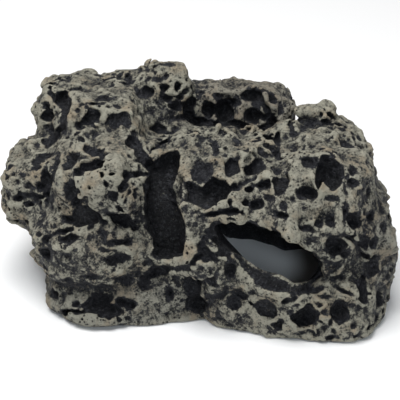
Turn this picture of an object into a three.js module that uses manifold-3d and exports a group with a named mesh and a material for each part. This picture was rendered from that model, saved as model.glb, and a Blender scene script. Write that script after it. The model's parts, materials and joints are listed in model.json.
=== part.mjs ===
// A resin cave ornament for an aquarium: cast rocks bonded into a hollow, bottomless shell that stands
// on its rim, with one slanting entrance in the front. Millimetres, +Z up, the entrance faces -Y, and the
// origin is under the middle of the bounding box.
import * as THREE from "three";
import Module from "manifold-3d";
import { ImprovedNoise } from "three/addons/math/ImprovedNoise.js";
import { mergeVertices } from "three/addons/utils/BufferGeometryUtils.js";

// Driving dimensions.
const LENGTH = 220;
const DEPTH = 140;
const HEIGHT = 110;
const BOND = 0.45; // the adhesive line left between two rocks
const SLIVER = 0.03; // facets thinner than this are closed up
const WALL = 8; // the thinnest the shell gets between pits
const PITTED_WALL = 5; // the thinnest it gets at the bottom of a pit
const WEB = 14; // how far a rock's share of the shell runs out beyond the rock
const LUMP = 0.15; // how far a rock's lumps stand out, as a share of its size
const LUMP_SIZE = 24; // from one lump to the next

// The entrance's outline, seen from the front: X and Z.
const ENTRANCE = [
  [7, 61],
  [17, 65.5],
  [27, 62.5],
  [36, 60.5],
  [45, 61],
  [51, 57],
  [57, 49.5],
  [63.5, 40],
  [64, 33],
  [61, 29.5],
  [55, 31.5],
  [47, 35],
  [38, 38.5],
  [30, 40.5],
  [22.5, 42.5],
  [16, 46.5],
  [10, 53],
];

// The hollow under the rocks: squared-off lobes that stand below the floor.
const HOLLOW = [
  { at: [-56, 7, 0], half: [26, 42, 76], square: 3.6, facets: 2 },
  { at: [-18, 17, 0], half: [36, 35, 74], square: 3.6, facets: 2 },
  { at: [33, -8, 0], half: [46, 37, 78], turn: [0, 0, -35], square: 4, facets: 2 },
  { at: [66, -4, 0], half: [26, 32, 72], square: 3.6, facets: 2 },
];

// The rocks, in the order they are set: each is cut to fit those before it. at is the middle, half is half
// of each side, and turn is in degrees.
const ROCKS = {
  left_base_ledge: { at: [-37, -24, 2], half: [41, 27, 19], square: 4, colour: "shaded" },
  front_sill_rock: { at: [52, -31, 8], half: [50, 31, 24], turn: [0, 0, -12], square: 3.2 },
  left_lower_boulder: { at: [-57, -6, 34], half: [37, 40, 28], square: 2.8 },
  left_upper_boulder: { at: [-54, -2, 67], half: [28, 37, 26], square: 2.5 },
  front_arch_rock: { at: [9, -4, 45], half: [40, 47, 45], square: 2.5, facets: 5 },
  right_boulder: { at: [66, -2, 48], half: [32, 52, 46], square: 2.7 },
  right_end_rock: { at: [80, -8, 24], half: [28, 42, 43], square: 2.9, colour: "shaded" },
  left_side_rock: { at: [-88, 14, 54], half: [23, 26, 25], square: 2.9 },
  top_knob_left: { at: [59, 22, 91], half: [5, 7, 8], facets: 1 },
  top_knob_right: { at: [67.5, 20, 91.5], half: [6, 8, 8], facets: 1 },
  crown_rock: { at: [-23, 48, 83], half: [22, 20, 29.5], square: 2.4 },
  rear_ridge_rock: { at: [21, 53, 67], half: [33, 16, 33], square: 3.8, colour: "dark" },
  left_top_ledge: { at: [-54, 37, 78], half: [27, 33, 27], square: 4.2 },
  left_rear_slab: { at: [-73, 48, 48], half: [20, 20, 53], square: 4.4 },
  rear_left_wall_rock: { at: [-34, 53, 32], half: [50, 15, 44], square: 3.4, colour: "shaded" },
  rear_right_wall_rock: {
    at: [53, 34, 30],
    half: [50, 17, 38],
    turn: [0, 0, -38],
    square: 3,
    colour: "shaded",
  },
};

// The teardrop recess beside the entrance.
const RECESS = { at: [-17, -36, 59], half: [10, 13, 31], turn: [-33, 0, 0], square: 2, facets: 3 };

// The large pits, set out on a plane that leans back PIT_LEAN degrees from upright and turns about Z. Each
// is its place across and up that plane and its radius, and it is sunk into the rock behind.
const PIT_LEAN = 30;
const PIT_SHAPE = { square: 2, facets: 1 };
const PIT_DEPTH = 0.75; // of its radius
const PITS = [
  {
    turn: 0,
    pits: [
      [-1, 5, 8],
      [10, 3, 6],
      [-1, 17, 5],
      [17, 20, 4.5],
      [30, 17, 6],
      [43, 11, 6],
      [57, 24, 6],
      [69, 14, 8],
      [78, 31, 5],
      [56, 2, 5],
      [66, -12, 5],
      [73, -27, 5],
      [-57, 28, 6],
      [-58, 18, 7],
      [-69, 9, 5],
      [-63, -10, 9],
      [-84, -31, 6],
      [-44, -34, 5],
      [-53, -56, 7],
      [-2, -49, 6],
      [36, -59, 6],
      [56, -63, 5.5],
      [73, -61, 5],
      [-88, 26, 6],
      [-47, 49, 6],
      [0, 50, 6],
      [15, 50, 6],
      [30, 54, 6],
    ],
  },
  { turn: 90, pits: [[-20, 6, 8], [4, 18, 7], [-6, -22, 9], [22, -14, 7]] },
  { turn: 180, pits: [[-62, 10, 8], [-24, 24, 7], [-10, -24, 9], [24, 4, 8], [62, 20, 8], [52, -22, 9]] },
  { turn: 270, pits: [[-36, 10, 8], [-8, -12, 7], [14, 14, 7]] },
];

const MATERIALS = {
  brushed: new THREE.MeshStandardMaterial({ color: 0x9d9684, roughness: 0.85, metalness: 0 }),
  shaded: new THREE.MeshStandardMaterial({ color: 0x7a756a, roughness: 0.85, metalness: 0 }),
  dark: new THREE.MeshStandardMaterial({ color: 0x4c4b4d, roughness: 0.8, metalness: 0 }),
};

const wasm = await Module();
wasm.setup();
const noise = new ImprovedNoise();

/** The solid of a closed geometry. */
function solidOf(geometry) {
  const bare = geometry.index ? geometry.toNonIndexed() : geometry.clone();
  for (const name of Object.keys(bare.attributes)) {
    if (name !== "position") bare.deleteAttribute(name);
  }
  const merged = mergeVertices(bare, 1e-3);
  return new wasm.Manifold(
    new wasm.Mesh({
      numProp: 3,
      vertProperties: merged.attributes.position.array,
      triVerts: new Uint32Array(merged.index.array),
    }),
  );
}

/** The geometry of a solid, flat-shaded as faceted rock. */
function geometryOf(solid) {
  const mesh = solid.getMesh();
  const geometry = new THREE.BufferGeometry();
  geometry.setAttribute("position", new THREE.BufferAttribute(mesh.vertProperties, 3));
  geometry.setIndex(new THREE.BufferAttribute(mesh.triVerts, 1));
  const faceted = geometry.toNonIndexed();
  faceted.computeVertexNormals();
  return faceted;
}

/** A placing matrix from a position and turns about X, Y and Z in degrees. */
function placing(at, turn = [0, 0, 0]) {
  const angles = new THREE.Euler(...turn.map(THREE.MathUtils.degToRad), "ZYX");
  return new THREE.Matrix4().makeRotationFromEuler(angles).setPosition(...at);
}

/**
 * A boulder: an icosphere drawn out to a squared-off ellipsoid with shallow lumps. square is 2 for an
 * ellipsoid and more for a blockier rock; grow moves its whole surface out.
 */
function boulder({ at, half, turn, square = 2.6, facets = 4 }, grow = 0) {
  const geometry = new THREE.IcosahedronGeometry(1, facets);
  const points = geometry.attributes.position;
  const p = new THREE.Vector3();
  for (let i = 0; i < points.count; i++) {
    p.fromBufferAttribute(points, i);
    const sum = Math.abs(p.x) ** square + Math.abs(p.y) ** square + Math.abs(p.z) ** square;
    p.multiplyScalar(sum ** (-1 / square)).multiply(new THREE.Vector3(...half));
    const lump = noise.noise(
      (p.x + at[0]) / LUMP_SIZE,
      (p.y + at[1]) / LUMP_SIZE,
      (p.z + at[2]) / LUMP_SIZE,
    );
    p.multiplyScalar(1 + LUMP * lump);
    p.addScaledVector(p.clone().normalize(), grow);
    points.setXYZ(i, p.x, p.y, p.z);
  }
  return solidOf(geometry.applyMatrix4(placing(at, turn)));
}

/** Solids joined into one. */
function joined(solids) {
  return solids.reduce((a, b) => a.add(b));
}

/** The largest body of a solid, without the crumbs and slivers that a cut leaves. */
function largest(solid) {
  const bodies = solid.setTolerance(SLIVER).decompose();
  return bodies.sort((a, b) => b.volume() - a.volume())[0];
}

/** All the hollow's lobes joined, each grown by the same distance. */
function lobes(grow) {
  return joined(HOLLOW.map((lobe) => boulder(lobe, grow)));
}

/** The entrance: its outline cut level through the front. */
function entrance() {
  const outline = new THREE.SplineCurve(ENTRANCE.map(([x, z]) => new THREE.Vector2(x, z)));
  const shape = new THREE.Shape(outline.getPoints(30));
  const geometry = new THREE.ExtrudeGeometry(shape, { depth: 50, bevelEnabled: false });
  return solidOf(geometry.rotateX(Math.PI / 2).translate(0, -28, 0));
}

/** The rocks as solids by name, each cut to fit the hollow and the rocks before it. */
function settle() {
  const underground = solidOf(
    new THREE.BoxGeometry(2 * LENGTH, 2 * DEPTH, HEIGHT).translate(0, 0, -HEIGHT / 2),
  );
  const shell = lobes(WALL);
  const bondedShell = lobes(WALL + BOND);
  let taken = joined([lobes(0), entrance(), boulder(RECESS).subtract(shell), underground]);
  const settled = {};
  for (const [name, rock] of Object.entries(ROCKS)) {
    const rough = { ...rock, facets: 2 };
    const web = boulder(rough, WEB).intersect(shell);
    settled[name] = largest(boulder(rock).add(web).subtract(taken));
    const bondedWeb = boulder(rough, WEB + BOND).intersect(bondedShell);
    taken = joined([taken, boulder(rock, BOND), bondedWeb]);
  }
  return settled;
}

/** The pits as one solid, each centred where its line meets the rocks. */
function pitting(rocks) {
  const meshes = Object.values(rocks).map((solid) => new THREE.Mesh(geometryOf(solid)));
  const sunk = [];
  for (const { turn, pits } of PITS) {
    const facing = placing([0, 0, HEIGHT / 2], [-PIT_LEAN, 0, turn]);
    const inward = new THREE.Vector3(0, 1, 0).transformDirection(facing);
    for (const [across, up, radius] of pits) {
      const start = new THREE.Vector3(across, -2 * LENGTH, up).applyMatrix4(facing);
      const [hit] = new THREE.Raycaster(start, inward).intersectObjects(meshes);
      const half = [radius, PIT_DEPTH * radius, radius];
      sunk.push(boulder({ ...PIT_SHAPE, at: hit.point.toArray(), half, turn: [-PIT_LEAN, 0, turn] }));
    }
  }
  return joined(sunk).subtract(lobes(PITTED_WALL));
}

const rocks = settle();
const pits = pitting(rocks);
const cave = new THREE.Group();
for (const [name, solid] of Object.entries(rocks)) {
  const material = MATERIALS[ROCKS[name].colour ?? "brushed"];
  const mesh = new THREE.Mesh(geometryOf(largest(solid.subtract(pits))), material);
  mesh.name = name;
  cave.add(mesh);
}

// The origin goes under the middle of the bounding box.
const middle = new THREE.Box3().setFromObject(cave).getCenter(new THREE.Vector3());
for (const mesh of cave.children) mesh.geometry.translate(-middle.x, -middle.y, 0);

export default cave;
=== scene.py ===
"""Looks for a resin cave ornament: cast rock full of vesicles, dry-brushed over a charcoal wash.

The CAD rocks are read into one volume, which is carved with crevices, pits and strata and then meshed again
rock by rock. Lengths in the sculpting part are millimetres, and the Blender objects are in metres.
"""

import json
import math

import bpy
import numpy as np
import openvdb
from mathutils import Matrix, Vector


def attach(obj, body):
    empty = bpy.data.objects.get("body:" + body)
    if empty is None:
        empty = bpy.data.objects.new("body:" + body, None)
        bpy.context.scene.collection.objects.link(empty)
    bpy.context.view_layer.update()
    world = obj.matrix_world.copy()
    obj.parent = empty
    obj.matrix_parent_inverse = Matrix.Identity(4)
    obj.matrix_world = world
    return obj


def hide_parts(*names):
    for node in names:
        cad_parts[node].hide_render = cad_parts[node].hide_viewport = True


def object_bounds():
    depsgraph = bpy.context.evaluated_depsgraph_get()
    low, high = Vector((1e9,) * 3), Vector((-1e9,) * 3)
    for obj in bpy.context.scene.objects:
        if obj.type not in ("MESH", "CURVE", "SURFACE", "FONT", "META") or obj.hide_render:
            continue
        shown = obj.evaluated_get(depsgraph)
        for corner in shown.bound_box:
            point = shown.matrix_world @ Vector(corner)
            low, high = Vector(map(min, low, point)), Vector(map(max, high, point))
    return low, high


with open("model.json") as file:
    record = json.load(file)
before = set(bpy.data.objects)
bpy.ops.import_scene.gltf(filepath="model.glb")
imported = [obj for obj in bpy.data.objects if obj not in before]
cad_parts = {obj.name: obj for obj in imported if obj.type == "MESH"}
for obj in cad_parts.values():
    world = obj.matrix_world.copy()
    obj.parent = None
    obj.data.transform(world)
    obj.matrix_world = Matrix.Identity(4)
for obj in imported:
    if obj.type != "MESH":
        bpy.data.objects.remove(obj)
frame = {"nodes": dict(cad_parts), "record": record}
cad_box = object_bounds()

STEP = 0.75  # the volume's pitch
BAND = 11.0  # how far distances are kept on either side of a surface
SKIN = 2.2  # rock that is always left between a carved pit and the cave
MARGIN = 6.0  # how far around a rock its own distances are worked out
OVERLAP = 0.5  # how far a rock runs under its neighbour
PIT_GROWTH = 1.2  # how much wider and deeper the pits are cut than their nominal size
BEVEL = 2.4  # how far a pit's edge is rounded over
FILLET = 7.5  # the radius of the cast web in the creases between rocks
CLEARANCE = 0.01  # how far inside the CAD model's box the rock stays
CRUMB = 0.02  # what share of a rock's points a loose crumb has at most
KNOBS_AT = (64, 20, 96)  # the middle of the two knobs on top
KNOB_TIPS = (64, 20, 98)
ENTRANCE_AT = (36, -50, 46)

# The viewpoint: it looks along +Y, from ELEVATION above the horizon.
TARGET = np.array([1.45, -2.69, 51.0])
ELEVATION = math.radians(30)
DISTANCE = 750.0
VIEW_WIDTH = 223.2  # what the view takes in at the target
RIGHT = np.array([1.0, 0.0, 0.0])
UP = np.array([0.0, math.sin(ELEVATION), math.cos(ELEVATION)])
BACK = np.array([0.0, -math.cos(ELEVATION), math.sin(ELEVATION)])

# Pits on the front, set out on a plane through TARGET that faces the viewpoint: across, up, half width, half
# height, tilt in degrees and depth.
PITS = [
    # left side and slab
    (-89, 65, 1.5, 1.5, 0, 2), (-90, 43.5, 2.6, 2.6, 0, 3), (-94, 38, 1.6, 1.6, 0, 2),
    (-84, 47, 3.5, 2.5, 20, 3), (-86, 54, 3.0, 1.4, -30, 2), (-86, 33, 2.4, 1.6, 20, 3),
    (-89, 25, 6.5, 4.2, 25, 6), (-91, 31, 2.0, 1.4, 0, 2), (-86, 12, 2.0, 4.0, 0, 4),
    (-81, 22, 1.3, 3.8, 0, 4), (-88, 8, 3.0, 1.6, -20, 3), (-100, 14, 4.0, 1.8, 0, 2),
    # left upper boulder
    (-73, 23, 3.6, 6.2, -8, 6), (-70, 15, 2.6, 3.4, -25, 4), (-73, 4, 3.4, 7.0, -12, 5),
    (-70, -2, 3.0, 3.5, 0, 4), (-60, 29, 5.6, 3.2, -18, 6), (-56, 26, 2.4, 3.0, 0, 5),
    (-59, 18.5, 7.6, 4.6, -10, 6), (-46, 31, 1.6, 1.6, 0, 2), (-51, 33, 1.8, 1.0, 0, 2),
    (-67, 33, 1.6, 1.0, 0, 1.5), (-50, 22, 1.4, 1.4, 0, 1.5), (-47, 14, 1.8, 1.2, 30, 2),
    (-48, 3, 2.6, 1.4, -20, 2), (-61, 5, 1.6, 1.4, 0, 2), (-42, 7, 3.0, 2.2, 0, 3),
    # top ledge and crown
    (-59, 45, 4.4, 3.4, 0, 3), (-53.5, 57.5, 4.6, 2.8, 0, 4), (-44, 45.5, 5.4, 3.6, 10, 3),
    (-60, 61, 1.0, 0.9, 0, 1.5), (-68, 50, 1.6, 1.2, 0, 2), (-67, 40, 2.4, 1.2, -30, 2),
    (-35, 47, 3.0, 1.6, 0, 3), (-41, 66, 2.4, 1.2, 0, 3), (-50, 65, 2.6, 1.3, -30, 3),
    (-30, 60, 4.6, 3.0, -15, 5), (-35, 54, 3.5, 1.2, -20, 2), (-18, 63, 3.0, 1.5, 0, 3),
    (-13, 64, 1.1, 3.0, 0, 4), (-17, 57, 3.4, 1.5, 0, 3), (-11, 57, 2.0, 1.4, 0, 3),
    (-25, 67, 2.0, 1.0, 0, 2),
    # the valley behind the arch, and the ridge over it
    (-16, 48, 2.6, 2.2, 0, 3), (-14, 52, 3.2, 2.4, 0, 4), (-5, 49, 3.6, 5.0, 0, 7),
    (6, 50.5, 3.4, 3.6, 10, 6), (14.5, 49.5, 4.2, 5.4, 0, 7), (0, 44, 8.0, 2.4, 0, 5),
    (16, 43, 7.0, 2.2, 0, 5), (20, 56.5, 5.5, 3.2, 20, 5), (30, 59, 4.6, 3.4, -10, 5),
    (30, 47.5, 3.6, 3.6, 0, 6), (41, 43.5, 2.8, 3.4, 0, 5), (36, 38.5, 5.5, 2.4, 0, 5),
    (23, 39.5, 3.4, 1.6, 0, 3), (10, 59, 2.0, 1.3, 0, 2), (0, 58, 2.4, 1.4, 0, 2),
    (42, 56, 1.8, 1.8, 0, 2), (46, 50, 1.6, 2.2, 0, 2), (24, 64, 1.6, 1.0, 0, 1.5),
    # the teardrop recess left of the entrance
    (-17.5, 19, 6.2, 7.5, 0, 10), (-23, 11, 6.0, 7.5, 0, 14), (-22.5, 2, 6.5, 8.0, 0, 18),
    (-20.5, -7, 8.0, 8.0, 0, 22), (-17.5, -16, 10.5, 9.0, 0, 26), (-17, -23, 10.0, 8.0, 0, 24),
    (-20, -30, 5.4, 4.6, 0, 14), (-9.5, -18.5, 6.0, 12.0, 15, 12), (-14.5, 22, 3.6, 6.0, 0, 7),
    # front arch rock
    (-35, 33, 4.2, 4.0, 0, 5), (-24, 40, 4.6, 2.2, 0, 4), (-18, 38, 1.8, 1.8, 0, 2),
    (-40, 12, 3.2, 2.4, 20, 4), (21, 33, 3.0, 3.4, 0, 5), (17.5, 20.5, 3.8, 6.2, -12, 7),
    (13, 26, 2.0, 2.0, 0, 3), (0.0, 16.5, 6.4, 7.2, -20, 9), (7, 20, 2.4, 2.4, 0, 3),
    (-5.5, 6, 5.4, 6.4, 20, 8), (2, 2.5, 7.0, 5.0, 0, 8), (9, 4.5, 7.0, 6.4, 0, 8),
    (31, 18.5, 6.4, 3.4, 30, 5), (20, 7, 3.4, 2.0, 0, 4), (36, 8, 3.2, 2.4, 0, 4), (38, 0, 2.8, 2.4, 0, 4),
    (31, -3, 3.0, 2.4, 0, 3), (46.5, 10.0, 4.0, 7.2, -12, 8), (43.5, 17, 2.0, 2.0, 0, 3),
    (45, -3, 2.4, 2.2, 0, 3), (-4, -7, 4.0, 1.1, 0, 2), (12, -6.5, 6.8, 1.7, 10, 3),
    (43, -8.5, 6.0, 1.6, -15, 3), (25, -2, 2.2, 1.3, 0, 2), (6, 33, 1.4, 1.2, 0, 2),
    (27, 28, 1.5, 1.2, 0, 2), (12, 11, 1.6, 1.2, 0, 2), (28, 5, 2.4, 1.6, 30, 3),
    # right boulder
    (60, 23, 5.4, 5.0, 0, 5), (62, 31, 2.2, 1.3, 0, 2), (72, 14, 7.2, 8.4, -12, 8),
    (70.5, 22, 3.0, 4.0, 0, 5), (82, 32, 4.0, 4.4, 0, 5), (56, 41, 2.0, 2.4, 0, 3),
    (60, 3, 4.4, 3.4, 0, 6), (52.5, -0.5, 1.3, 1.3, 0, 2), (75, 1.5, 5.6, 1.9, 20, 4),
    (58, -6, 2.4, 1.1, 0, 2), (59, -15, 3.4, 1.2, -15, 3), (56.5, -11, 2.0, 2.0, 0, 3),
    (67, -12, 3.0, 2.8, 0, 5), (73, -11, 2.2, 3.4, 0, 5), (76, -26, 4.8, 4.2, -20, 5),
    (82, -31, 2.2, 2.2, 0, 3), (77, -37, 2.6, 1.8, 0, 2), (66, 38, 1.8, 1.0, 0, 1.5),
    (73, 35, 1.4, 1.2, 0, 1.5), (66, 9, 1.8, 1.4, 0, 2), (51, 28, 1.6, 1.4, 0, 2),
    (70, -19, 2.4, 1.3, 0, 2), (62, -22, 1.8, 1.0, 0, 1.5), (79, 6, 1.6, 1.6, 0, 2),
    # right end
    (86, 17, 1.8, 3.0, 0, 4), (87, 10.5, 3.2, 2.6, 0, 4), (87, -12, 4.6, 4.6, 0, 5),
    (97, -9, 3.0, 2.4, 0, 3), (92, -23, 3.2, 3.0, 0, 4), (98, -24, 2.4, 2.4, 0, 3),
    (98, -37, 4.0, 5.6, 0, 5), (101, -55, 4.4, 3.8, 0, 5), (92, -50, 2.4, 5.8, 0, 5),
    (96, 4, 2.6, 2.0, 0, 3), (104, -16, 2.0, 3.0, 0, 3), (93, 20, 1.6, 1.4, 0, 2),
    # left lower boulder
    (-65, -10, 7.6, 5.0, 0, 7), (-74, -12, 5.0, 2.4, 5, 4), (-44, -12, 6.6, 3.6, -15, 5),
    (-73, -22, 4.6, 1.8, 5, 3), (-43, -24, 7.0, 1.8, 0, 4), (-91, -12, 2.4, 3.0, 0, 3),
    (-87, -22, 2.4, 2.2, 0, 3), (-87, -31, 4.4, 3.8, 0, 5), (-44, -34, 6.4, 2.6, 0, 5),
    (-62, -42, 4.6, 1.5, 0, 3), (-72, -46, 2.0, 2.4, 0, 3), (-41.5, -44.5, 4.8, 2.0, -10, 4),
    (-54, -48, 3.0, 2.0, 0, 3), (-30, -48, 2.8, 2.8, 0, 4), (-52, -29, 3.4, 1.3, 0, 2),
    (-63, -28, 2.2, 1.1, 0, 2), (-95, -2, 2.6, 1.6, 0, 2), (-101, 3, 2.2, 1.1, 0, 2),
    (-80, -42, 2.2, 1.6, 0, 2), (-95, -40, 1.8, 2.2, 0, 2),
    # along the base
    (-57, -57, 6.4, 4.4, 15, 5), (-51, -62, 5.0, 3.6, 0, 5), (-42, -57.5, 6.0, 3.2, -10, 5),
    (-75, -63, 3.8, 1.4, -10, 3), (-82, -52, 2.4, 1.6, 0, 3), (-70, -58, 2.0, 1.2, 0, 2),
    (-17, -54, 3.0, 4.2, 0, 4), (-3.5, -48, 4.6, 7.0, 0, 6), (-1.5, -58, 5.6, 6.0, 0, 6),
    (7.5, -46, 3.8, 4.6, -20, 5), (18, -41, 2.0, 3.4, 0, 4), (21, -58, 5.4, 4.8, 10, 5),
    (5, -22, 2.2, 1.5, 0, 3), (8, -25, 2.2, 1.5, 0, 3), (5, -29, 2.4, 1.5, 0, 3),
    (36.5, -62, 5.4, 4.4, 0, 5), (47, -56, 2.0, 1.8, 0, 3), (59, -66, 6.0, 4.2, 0, 5),
    (77.5, -63, 4.8, 4.6, 0, 5), (82, -51.5, 4.8, 1.5, -10, 3), (88, -63, 1.5, 3.0, 0, 3),
    (93, -62, 1.5, 1.3, 0, 2), (28, -53, 2.4, 1.6, 0, 3), (68, -56, 2.4, 1.4, 0, 2),
    (-88, -62, 2.6, 1.4, 0, 2), (-30, -64, 2.4, 1.4, 0, 2), (12, -68, 2.2, 1.4, 0, 2),
]

# Crevices and channels on the same plane: width, depth and the points that each runs through.
CREVICES = [
    (9.0, 9, [(-77, 59), (-76.5, 52), (-77, 46), (-77, 41)]),
    (5.0, 5, [(-77, 41), (-80, 36), (-84, 32)]),
    (3.0, 4, [(-85, 66), (-84, 61), (-81, 57), (-78, 54)]),
    (3.0, 4, [(-80, 26), (-80.5, 18), (-83, 12), (-85, 4)]),
    (1.4, 2, [(-104, 18), (-98, 19.2), (-90, 20)]),
    (1.4, 2, [(-101, 16), (-95, 17.5), (-89, 19)]),
    (1.6, 2, [(-101, 4), (-95, 3.4), (-89, 2)]),
    (1.6, 2, [(-71, 62), (-66, 61.6), (-62, 62)]),
    (1.3, 2, [(-66, 52), (-60, 52.6), (-56, 54)]),
    (1.3, 2, [(-49, 56), (-43, 57), (-38, 56)]),
    (6.4, 6, [(-34, 30), (-31, 25), (-28, 20), (-25, 15)]),
    (4.6, 5, [(-27, 14), (-33, 14), (-40, 12)]),
    (1.8, 3, [(-14, 39.5), (-17, 35), (-20, 32), (-25, 29), (-29, 27)]),
    (2.0, 3, [(-1, 31), (1.5, 34), (6, 34), (9, 31), (7.5, 27)]),
    (2.6, 4, [(22, 7), (26, 10), (30, 13)]),
    (2.4, 4, [(33, 49), (36, 46), (39, 48), (39, 52), (36, 56)]),
    (3.2, 5, [(43, 37), (42.6, 31), (43, 25)]),
    (2.4, 4, [(50, 45), (48.5, 41), (52, 37)]),
    (2.6, 4, [(84, 19), (83, 10), (83.5, 1), (82, -6), (80.5, -13)]),
    (2.6, 4, [(80.5, -13), (81, -20), (86, -23), (90, -29), (94, -31)]),
    (2.6, 4, [(93, -34), (92.5, -40), (92.5, -47)]),
    (3.6, 4, [(-50, -9), (-43, -12), (-36, -16)]),
    (2.0, 3, [(-80, -33), (-75, -36), (-69, -39)]),
    (2.0, 3, [(-85, -20), (-79, -18), (-72, -17)]),
    (4.0, 4, [(-16, 46), (-8, 44.5), (4, 43), (16, 42), (28, 41), (38, 40)]),
    (4.6, 5, [(-28, -44), (-22, -42), (-15, -40), (-8, -38)]),
    (2.6, 3, [(-4, -35), (0, -31.5), (6, -31.5), (9, -35)]),
    (2.2, 3, [(-78, -60), (-70, -62), (-62, -62)]),
    # the dark lower lip of the entrance
    (9.0, 2.8, [(8.5, -18), (14, -26.5), (20.5, -33.5)]),
    (10.4, 3.2, [(20.5, -34), (29, -41.2), (38, -45.4), (47, -48.6), (56, -49.2), (63, -47)]),
]


# The volume.
low = np.array(cad_box[0]) * 1000
high = np.array(cad_box[1]) * 1000
ORIGIN = low - 4 * STEP
DIMS = [int(math.ceil(n)) + 9 for n in (high - low) / STEP]
AXES = [ORIGIN[k] + STEP * np.arange(DIMS[k]) for k in range(3)]
EVERYWHERE = (slice(0, DIMS[0]), slice(0, DIMS[1]), slice(0, DIMS[2]))


def region(centre, reach):
    """The slices of the volume within reach of a point."""
    first = np.floor((np.asarray(centre) - reach - ORIGIN) / STEP).astype(int)
    last = np.ceil((np.asarray(centre) + reach - ORIGIN) / STEP).astype(int) + 1
    return tuple(slice(max(a, 0), min(b, n)) for a, b, n in zip(first, last, DIMS))


def coordinates(part=EVERYWHERE):
    """X, Y and Z over a region, ready to broadcast."""
    x, y, z = (axis[s].astype(np.float32) for axis, s in zip(AXES, part))
    return x[:, None, None], y[None, :, None], z[None, None, :]


def grid_at(part):
    """The OpenVDB transform that puts index 0 at a region's first corner."""
    corner = [AXES[k][part[k].start] for k in range(3)]
    rows = [[STEP, 0, 0, 0], [0, STEP, 0, 0], [0, 0, STEP, 0], [*corner, 1]]
    return openvdb.createLinearTransform(rows)


def signed_distance(points, part=EVERYWHERE, **faces):
    """Distance to a closed surface over a region, negative inside."""
    grid = openvdb.FloatGrid.createLevelSetFromPolygons(
        points.astype(np.float32), transform=grid_at(part), halfWidth=BAND / STEP, **faces
    )
    field = np.empty([s.stop - s.start for s in part], np.float32)
    grid.copyToArray(field)
    return field


def surface(field, part=EVERYWHERE):
    """Points and quads of the surface where a field passes zero."""
    grid = openvdb.FloatGrid(BAND)
    grid.transform = grid_at(part)
    grid.copyFromArray(np.clip(field, -BAND, BAND).astype(np.float32))
    points, quads = grid.convertToQuads(0.0)
    return points, quads


def whole(points, quads):
    """The points and quads of a surface without its crumbs."""
    labels = np.arange(len(points))
    one, other = quads[:, :3].ravel(), quads[:, 1:].ravel()
    while (labels[one] != labels[other]).any():
        lower = np.minimum(labels[one], labels[other])
        np.minimum.at(labels, labels[one], lower)
        np.minimum.at(labels, labels[other], lower)
        labels = labels[labels]
    kept = np.bincount(labels, minlength=len(points))[labels] > CRUMB * len(points)
    renumbered = np.cumsum(kept) - 1
    return points[kept], renumbered[quads[kept[quads[:, 0]]]]


def blurred(field, radius):
    """A field smoothed by a Gaussian of that radius."""
    sigma = radius / STEP
    taps = np.arange(-int(3 * sigma + 1), int(3 * sigma + 1) + 1)
    weights = np.exp(-0.5 * (taps / sigma) ** 2)
    weights /= weights.sum()
    for axis in range(3):
        pad = [(0, 0)] * 3
        pad[axis] = (len(taps) // 2,) * 2
        padded = np.pad(field, pad, mode="edge")
        total = np.zeros_like(field)
        for tap, weight in enumerate(weights):
            cut = [slice(None)] * 3
            cut[axis] = slice(tap, tap + field.shape[axis])
            total += np.float32(weight) * padded[tuple(cut)]
        field = total
    return field


def noise(seed, *cell):
    """Smooth noise with a spread of about 1 over the whole volume. cell is its size along X, Y and Z."""
    cell = cell if len(cell) == 3 else cell * 3
    bases = []
    for axis, size, first, last in zip(AXES, cell, low - 8, high + 8):
        place = (axis - first) / size
        index = place.astype(int)
        f = place - index
        spline = [(1 - f) ** 3, 3 * f**3 - 6 * f**2 + 4, -3 * f**3 + 3 * f**2 + 3 * f + 1, f**3]
        basis = np.zeros((len(axis), int((last - first) / size) + 4), np.float32)
        for k, weight in enumerate(spline):
            basis[np.arange(len(axis)), index + k] = weight / 6
        bases.append(basis)
    values = np.random.default_rng(seed).standard_normal([b.shape[1] for b in bases]).astype(np.float32)
    for basis in bases:
        values = np.tensordot(values, basis, (0, 1))
    return values * 3


def sampled(field, points):
    """A field's values at points, interpolated."""
    place = (points - ORIGIN) / STEP
    place = np.clip(place, 0, np.array(DIMS) - 1.001)
    index = place.astype(int)
    f = (place - index).astype(np.float32)
    total = np.zeros(len(points), np.float32)
    for corner in np.ndindex(2, 2, 2):
        weight = np.prod([f[:, k] if corner[k] else 1 - f[:, k] for k in range(3)], axis=0)
        at = index + corner
        total += weight * field[at[:, 0], at[:, 1], at[:, 2]]
    return total


def smoothstep(start, end, value):
    """0 up to start and 1 from end on, with a smooth rise between them."""
    t = np.clip((value - start) / (end - start), 0, 1)
    return t * t * (3 - 2 * t)


# The rocks: how far each voxel is from the nearest one and the next.
nearest = np.full(DIMS, BAND, np.float32)
second = np.full(DIMS, BAND, np.float32)
rocks = {}
for name, node in sorted(frame["nodes"].items()):
    mesh = node.data
    mesh.calc_loop_triangles()
    points = np.empty(len(mesh.vertices) * 3, np.float32)
    mesh.vertices.foreach_get("co", points)
    points = points.reshape(-1, 3) * 1000
    triangles = np.empty(len(mesh.loop_triangles) * 3, np.int32)
    mesh.loop_triangles.foreach_get("vertices", triangles)
    corners = points.min(0), points.max(0)
    part = region((corners[0] + corners[1]) / 2, (corners[1] - corners[0]) / 2 + MARGIN)
    away = signed_distance(points, part, triangles=triangles.reshape(-1, 3).astype(np.uint32))
    rocks[name] = (part, away)
    second[part] = np.minimum(second[part], np.maximum(nearest[part], away))
    nearest[part] = np.minimum(nearest[part], away)

x, y, z = coordinates()


def ball(centre, radius, edge):
    """1 inside a ball, falling to 0 over the edge outside it."""
    cx, cy, cz = centre
    return smoothstep(radius + edge, radius, np.sqrt((x - cx) ** 2 + (y - cy) ** 2 + (z - cz) ** 2))


def resurfaced(field):
    """True distances to the surface where a field passes zero."""
    points, quads = surface(field)
    return signed_distance(points, quads=quads)


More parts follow.
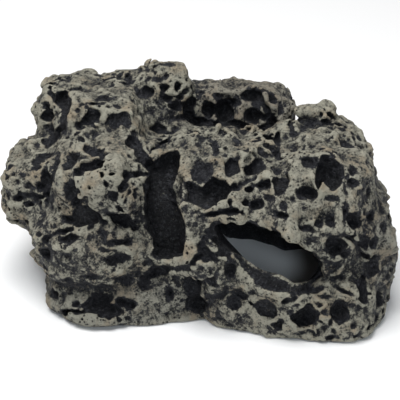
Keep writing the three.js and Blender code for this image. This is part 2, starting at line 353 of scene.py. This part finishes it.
# The rocks fused into one body before any carving: facets softened, and the creases between rocks filled
# with a web, except at the entrance and between the knobs on top.
fused = resurfaced(blurred(nearest, 1.3))
webbed = resurfaced(fused - FILLET) + FILLET
spared = np.maximum(ball(KNOBS_AT, 16, 8), smoothstep(-16, -24, y) * ball(ENTRANCE_AT, 34, 10))
hull = resurfaced(np.minimum(fused, webbed + 30 * spared))

# The cave: air with rock over it and on every side. Just inside the entrance one of them may be missing.
solid = hull < 0
left = np.logical_or.accumulate(solid, axis=0)
right = np.logical_or.accumulate(solid[::-1], axis=0)[::-1]
front = np.logical_or.accumulate(solid, axis=1)
back = np.logical_or.accumulate(solid[:, ::-1], axis=1)[:, ::-1]
over = np.logical_or.accumulate(solid[:, :, ::-1], axis=2)[:, :, ::-1]
under_lintel = over & (x > 4) & (y > -47) & (z < 62)
over_sill = front & (x > 4) & (y < -20) & (z < 50)
cave = ~solid & left & right & back & ((over & front) | under_lintel | over_sill)
from_cave = resurfaced(blurred(0.5 - cave.astype(np.float32), STEP))

warp = [0.7 * noise(11 + k, 8.0) + 0.4 * noise(21 + k, 2.6) for k in range(3)]


def carve(cut, centre, half, frame_axes):
    """Adds an irregular ellipsoid to a field that is positive where rock is taken away."""
    part = region(centre, max(half) * 1.5 + 2)
    offset = [c + w[part] - m for c, w, m in zip(coordinates(part), warp, centre)]
    total = 0
    for axis, size in zip(frame_axes, half):
        total = total + (sum(a * o for a, o in zip(axis, offset)) / size) ** 2
    inside = (1 - np.sqrt(total)) * min(half)
    cut[part] = np.maximum(cut[part], inside)


def sighted(across, up):
    """Where the sight line through a point of the front plane meets the rock, and its direction."""
    eye = TARGET + DISTANCE * BACK
    aim = TARGET + across * RIGHT + up * UP - eye
    length = np.linalg.norm(aim)
    aim = aim / length
    run = DISTANCE - 130
    for _ in range(400):
        gap = sampled(hull, (eye + run * aim)[None])[0]
        if gap < 0.1 or run > DISTANCE + 130:
            break
        run += max(0.8 * gap, 0.2)
    return eye + run * aim, aim, run / length


cut = np.full(DIMS, -BAND, np.float32)
for across, up, half_width, half_height, tilt, depth in PITS:
    centre, aim, scale = sighted(across, up)
    c, s = math.cos(math.radians(tilt)), math.sin(math.radians(tilt))
    frame_axes = (c * RIGHT + s * UP, c * UP - s * RIGHT, aim)
    half = (PIT_GROWTH * half_width * scale, PIT_GROWTH * half_height * scale, PIT_GROWTH * depth)
    carve(cut, centre, half, frame_axes)
for width, depth, line in CREVICES:
    line = np.array(line, float)
    for start, end in zip(line[:-1], line[1:]):
        steps = int(np.linalg.norm(end - start) / (0.35 * width)) + 1
        for t in np.arange(steps + 1) / steps:
            centre, aim, scale = sighted(*(start + t * (end - start)))
            carve(cut, centre, (width / 2 * scale, width / 2 * scale, depth), (RIGHT, UP, aim))

# Vesicles all over the outside.
points, quads = surface(hull)
outer = points[(sampled(from_cave, points) > 5) & (points[:, 2] > 3)]
slopes = np.gradient(hull)


def scattered(points, spacing, rng):
    """Some of the points, no two closer than spacing."""
    kept, cells = [], {}
    for point in points[rng.permutation(len(points))]:
        cell = tuple((point // spacing).astype(int))
        near = [q for d in np.ndindex(3, 3, 3) for q in cells.get(tuple(np.add(cell, d) - 1), [])]
        if all(((point - q) ** 2).sum() > spacing**2 for q in near):
            cells.setdefault(cell, []).append(point)
            kept.append(point)
    return np.array(kept)


def vesicles(seed, spacing, sizes, hidden_only, depth=1.0):
    """Pits of random sizes scattered over the outside, or only where the viewpoint doesn't see."""
    rng = np.random.default_rng(seed)
    few = outer[rng.random(len(outer)) < min(1.0, 40000 / len(outer))]
    spots = scattered(few, spacing, rng)
    normals = np.stack([sampled(s, spots) for s in slopes], 1)
    normals /= np.linalg.norm(normals, axis=1)[:, None] + 1e-6
    if hidden_only:
        spots, normals = spots[normals @ BACK < 0.1], normals[normals @ BACK < 0.1]
    for spot, normal in zip(spots, normals):
        size = sizes[0] + (sizes[1] - sizes[0]) * rng.random() ** 2
        side = np.cross(normal, rng.standard_normal(3))
        side /= np.linalg.norm(side)
        half = size * rng.uniform(0.7, 1.3, 3) * (1, 1, depth)
        carve(cut, spot, half, (side, np.cross(normal, side), normal))


vesicles(1, 17, (3.0, 7.5), True)
vesicles(4, 10, (1.2, 3.4), True, 0.7)
vesicles(2, 6.0, (0.7, 1.7), False)
vesicles(3, 4.0, (0.7, 1.3), False)

# Strata on the left-hand ledges, roughness everywhere, and spikier knobs on top.
strata = smoothstep(-25, -45, x) * (smoothstep(52, 44, z) + smoothstep(78, 88, z)) + smoothstep(-84, -92, x)
rough = 0.8 * noise(31, 15.0) + 0.65 * noise(32, 7.0) + 0.4 * noise(33, 3.4) + 0.26 * noise(34, 1.8)
rough -= 0.8 * (np.abs(noise(35, 10.0)) - 0.8) + 0.35 * (np.abs(noise(37, 4.2)) - 0.8)
rough += np.clip(strata, 0, 1) * 1.1 * noise(36, 17.0, 17.0, 3.0)
rough += ball(KNOB_TIPS, 11, 5) * (1.3 - 1.8 * np.abs(noise(38, 3.6)))
uncut = hull + rough * smoothstep(0, 4, z) * smoothstep(0.5, 3, from_cave)
cut += 0.35 * noise(41, 3.4) + 0.15 * noise(42, 1.8)
shape = np.maximum(uncut, cut) + BEVEL / 4 * np.maximum(1 - np.abs(uncut - cut) / BEVEL, 0) ** 2
shape = np.maximum(np.minimum(shape, from_cave - SKIN), hull - 4 * smoothstep(1, 5, from_cave))
for value, first, last in zip((x, y, z), low, high):
    shape = np.maximum(shape, np.maximum(first - value, value - last) + CLEARANCE)

# How enclosed each point is by the rock around it.
filled = (shape < 0).astype(np.float32)
enclosed_near = blurred(filled, 1.6)
enclosed_far = blurred(filled, 4.5)

SLOTS = {s["node"]: s["material_slot"] for s in frame["record"]["subparts"]}


def color(red, green, blue):
    """Linear colour of an sRGB one given out of 255."""
    return (*[(v / 255) ** 2.2 for v in (red, green, blue)], 1)


def rock_material(name, brushed, warm, wash, brush):
    """Painted resin: charcoal wash, dry brush on proud rock, painted shade and top light. brush shifts its
    reach.
    """
    material = bpy.data.materials.new(name)
    material.use_nodes = True
    nodes, links = material.node_tree.nodes, material.node_tree.links
    shader = nodes["Principled BSDF"]

    def node(kind, **settings):
        made = nodes.new(kind)
        for key, value in settings.items():
            if hasattr(made, key):
                setattr(made, key, value)
            else:
                made.inputs[key].default_value = value
        return made

    def maths(operation, a, b):
        made = node("ShaderNodeMath", operation=operation)
        for socket, value in zip(made.inputs, (a, b)):
            if isinstance(value, (int, float)):
                socket.default_value = value
            else:
                links.new(value, socket)
        return made.outputs[0]

    def ramp(value, first, last):
        made = node("ShaderNodeMapRange", interpolation_type="SMOOTHSTEP")
        links.new(value, made.inputs["Value"])
        made.inputs["From Min"].default_value = first
        made.inputs["From Max"].default_value = last
        return made.outputs[0]

    def mix(factor, a, b):
        made = node("ShaderNodeMix", data_type="RGBA")
        links.new(factor, made.inputs["Factor"])
        for socket, value in ((made.inputs[6], a), (made.inputs[7], b)):
            if isinstance(value, tuple):
                socket.default_value = value
            else:
                links.new(value, socket)
        return made.outputs[2]

    place = node("ShaderNodeTexCoord").outputs["Object"]

    def grain(scale, detail=4.0, roughness=0.6):
        made = node("ShaderNodeTexNoise", Scale=scale, Detail=detail, Roughness=roughness)
        links.new(place, made.inputs["Vector"])
        return made.outputs[0]

    sunk = node("ShaderNodeAttribute", attribute_name="sunk").outputs["Fac"]
    hollow = node("ShaderNodeAttribute", attribute_name="hollow").outputs["Fac"]
    inner = node("ShaderNodeAttribute", attribute_name="inner").outputs["Fac"]
    upward = node("ShaderNodeAttribute", attribute_name="upward").outputs["Fac"]

    fine, mottled, broad = grain(820.0, 3.0, 0.8), grain(330.0), grain(55.0, 2.0)

    # The dry brush catches the high places and misses the low ones, with a grainy edge. Faces that point up
    # are also kept lighter and the others darker: painted top light.
    reach = maths("ADD", maths("MULTIPLY", hollow, 1.2), maths("MULTIPLY", maths("SUBTRACT", fine, 0.5), 2.0))
    reach = maths("ADD", reach, maths("MULTIPLY", maths("SUBTRACT", mottled, 0.5), 1.3))
    reach = maths("ADD", reach, maths("MULTIPLY", maths("SUBTRACT", broad, 0.5), 1.3))
    reach = maths("ADD", reach, maths("MULTIPLY", ramp(sunk, 0.2, 2.8), 0.9))
    # painted top light: the more a face points up, the less of the wash shows on it
    reach = maths("SUBTRACT", reach, maths("MULTIPLY", upward, 0.3))
    unbrushed_with_painted_top_light = maths("MAXIMUM", ramp(reach, -0.34 + brush, 0.12 + brush), inner)

    pores = node("ShaderNodeTexVoronoi", Scale=430.0)
    links.new(place, pores.inputs["Vector"])
    pore = maths("SUBTRACT", 1.0, ramp(pores.outputs["Distance"], 0.17, 0.34))
    pore = maths("MULTIPLY", pore, ramp(mottled, 0.42, 0.56))

    light = mix(ramp(grain(75.0, 3.0), 0.45, 0.68), brushed, warm)
    thin = maths("ADD", maths("ADD", fine, maths("MULTIPLY", hollow, 0.7)), maths("MULTIPLY", mottled, 0.9))
    thin = maths("ADD", thin, maths("MULTIPLY", broad, 0.5))
    light = mix(ramp(thin, 0.86, 1.3), light, tuple(0.4 * v for v in brushed[:3]) + (1,))
    # painted shade: the wash turns darker still, towards 0.4 of itself, in deep recesses and along the cave
    # walls
    dark = mix(ramp(sunk, 2.0, 7.0), wash, tuple(0.4 * v for v in wash[:3]) + (1,))
    dark = mix(ramp(grain(560.0, 4.0, 0.85), 0.48, 0.68), dark, color(64, 65, 68))
    paint = mix(unbrushed_with_painted_top_light, light, dark)
    paint = mix(maths("MULTIPLY", pore, 0.85), paint, wash)
    links.new(paint, shader.inputs["Base Color"])

    links.new(maths("ADD", 0.88, maths("MULTIPLY", unbrushed_with_painted_top_light, -0.36)), shader.inputs["Roughness"])
    shader.inputs["Specular IOR Level"].default_value = 0.35

    height = maths("ADD", maths("MULTIPLY", fine, 0.6), maths("MULTIPLY", mottled, 0.8))
    height = maths("SUBTRACT", height, maths("MULTIPLY", pore, 0.5))
    bump = node("ShaderNodeBump", Strength=1.0, Distance=0.0026)
    links.new(height, bump.inputs["Height"])
    links.new(bump.outputs[0], shader.inputs["Normal"])
    return material


BEIGE, WARM, WASH = color(158, 155, 140), color(150, 138, 118), color(22, 23, 29)
# dark_rock is the same paint darker and brushed less again.
# shaded_rock is the same paint made darker and brushed less: painted shade for the rocks turned away from the
# light.
MATERIALS = {
    "brushed_rock": rock_material("brushed_rock", BEIGE, WARM, WASH, 0.0),
    "shaded_rock": rock_material("shaded_rock", color(144, 142, 130), color(138, 128, 111), WASH, -0.05),
    "dark_rock": rock_material("dark_rock", color(140, 136, 124), color(132, 121, 105), WASH, -0.12),
}

for name, (part, away) in rocks.items():
    own = (away - np.where(away <= nearest[part], second[part], nearest[part])) / 2
    piece = np.maximum(shape[part] + 0.4 * np.maximum(own, 0), own - OVERLAP)
    points, quads = whole(*surface(piece, part))
    mesh = bpy.data.meshes.new(name + "_cast")
    mesh.from_pydata((points / 1000).tolist(), [], quads.tolist())
    normals = np.empty(len(points) * 3, np.float32)
    mesh.vertices.foreach_get("normal", normals)
    mesh.polygons.foreach_set("use_smooth", [True] * len(mesh.polygons))
    caveward = sampled(from_cave, points)
    values = {
        # points within 4 mm of the cave count as 4 mm deeper: left unbrushed, and darker with the painted
        # shade of deep recesses
        "sunk": -sampled(uncut, points) + 4 * smoothstep(4.0, 2.4, caveward),
        "hollow": 1.2 * sampled(enclosed_near, points) + 0.8 * sampled(enclosed_far, points) - 1,
        "inner": smoothstep(2.0, 0.5, caveward),
        "upward": normals[2::3],
    }
    for label, value in values.items():
        mesh.attributes.new(label, "FLOAT", "POINT").data.foreach_set("value", value.astype(np.float32))
    cast = bpy.data.objects.new(name + "_cast", mesh)
    bpy.context.scene.collection.objects.link(cast)
    slot = SLOTS[name]
    mesh.materials.append(MATERIALS[slot])
    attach(cast, "root")
    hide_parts(name)

# The floor, lights and camera.
bpy.ops.mesh.primitive_plane_add(size=6)
floor = bpy.context.object
floor.name = "floor"
paper = bpy.data.materials.new("paper")
paper.use_nodes = True
paper.node_tree.nodes["Principled BSDF"].inputs["Base Color"].default_value = (0.94, 0.94, 0.94, 1)
paper.node_tree.nodes["Principled BSDF"].inputs["Roughness"].default_value = 0.6
floor.data.materials.append(paper)

world = bpy.data.worlds.new("studio")
bpy.context.scene.world = world
world.use_nodes = True
world.node_tree.nodes["Background"].inputs["Color"].default_value = (1, 1, 1, 1)
world.node_tree.nodes["Background"].inputs["Strength"].default_value = 0.2


def softbox(name, place, size, power, tint=(1, 1, 1)):
    """A square area light that faces the ornament."""
    light = bpy.data.lights.new(name, "AREA")
    light.size, light.energy, light.color = size, power, tint
    lamp = bpy.data.objects.new(name, light)
    bpy.context.scene.collection.objects.link(lamp)
    lamp.location = place
    lamp.rotation_euler = (Vector((0, 0, 0.05)) - lamp.location).to_track_quat("-Z", "Y").to_euler()


softbox("key", (-0.25, -0.05, 1.35), 1.0, 23)
softbox("front", (0.2, -1.2, 0.7), 0.25, 4, (0.82, 0.92, 1.0))

eye = Vector((TARGET + DISTANCE * BACK) / 1000)
camera = bpy.data.objects.new("camera", bpy.data.cameras.new("camera"))
bpy.context.scene.collection.objects.link(camera)
camera.location = eye
camera.rotation_euler = (-Vector(BACK)).to_track_quat("-Z", "Y").to_euler()
camera.data.sensor_width = 36
camera.data.lens = 36 * DISTANCE / VIEW_WIDTH
bpy.context.scene.camera = camera
bpy.context.scene.view_settings.view_transform = "Standard"
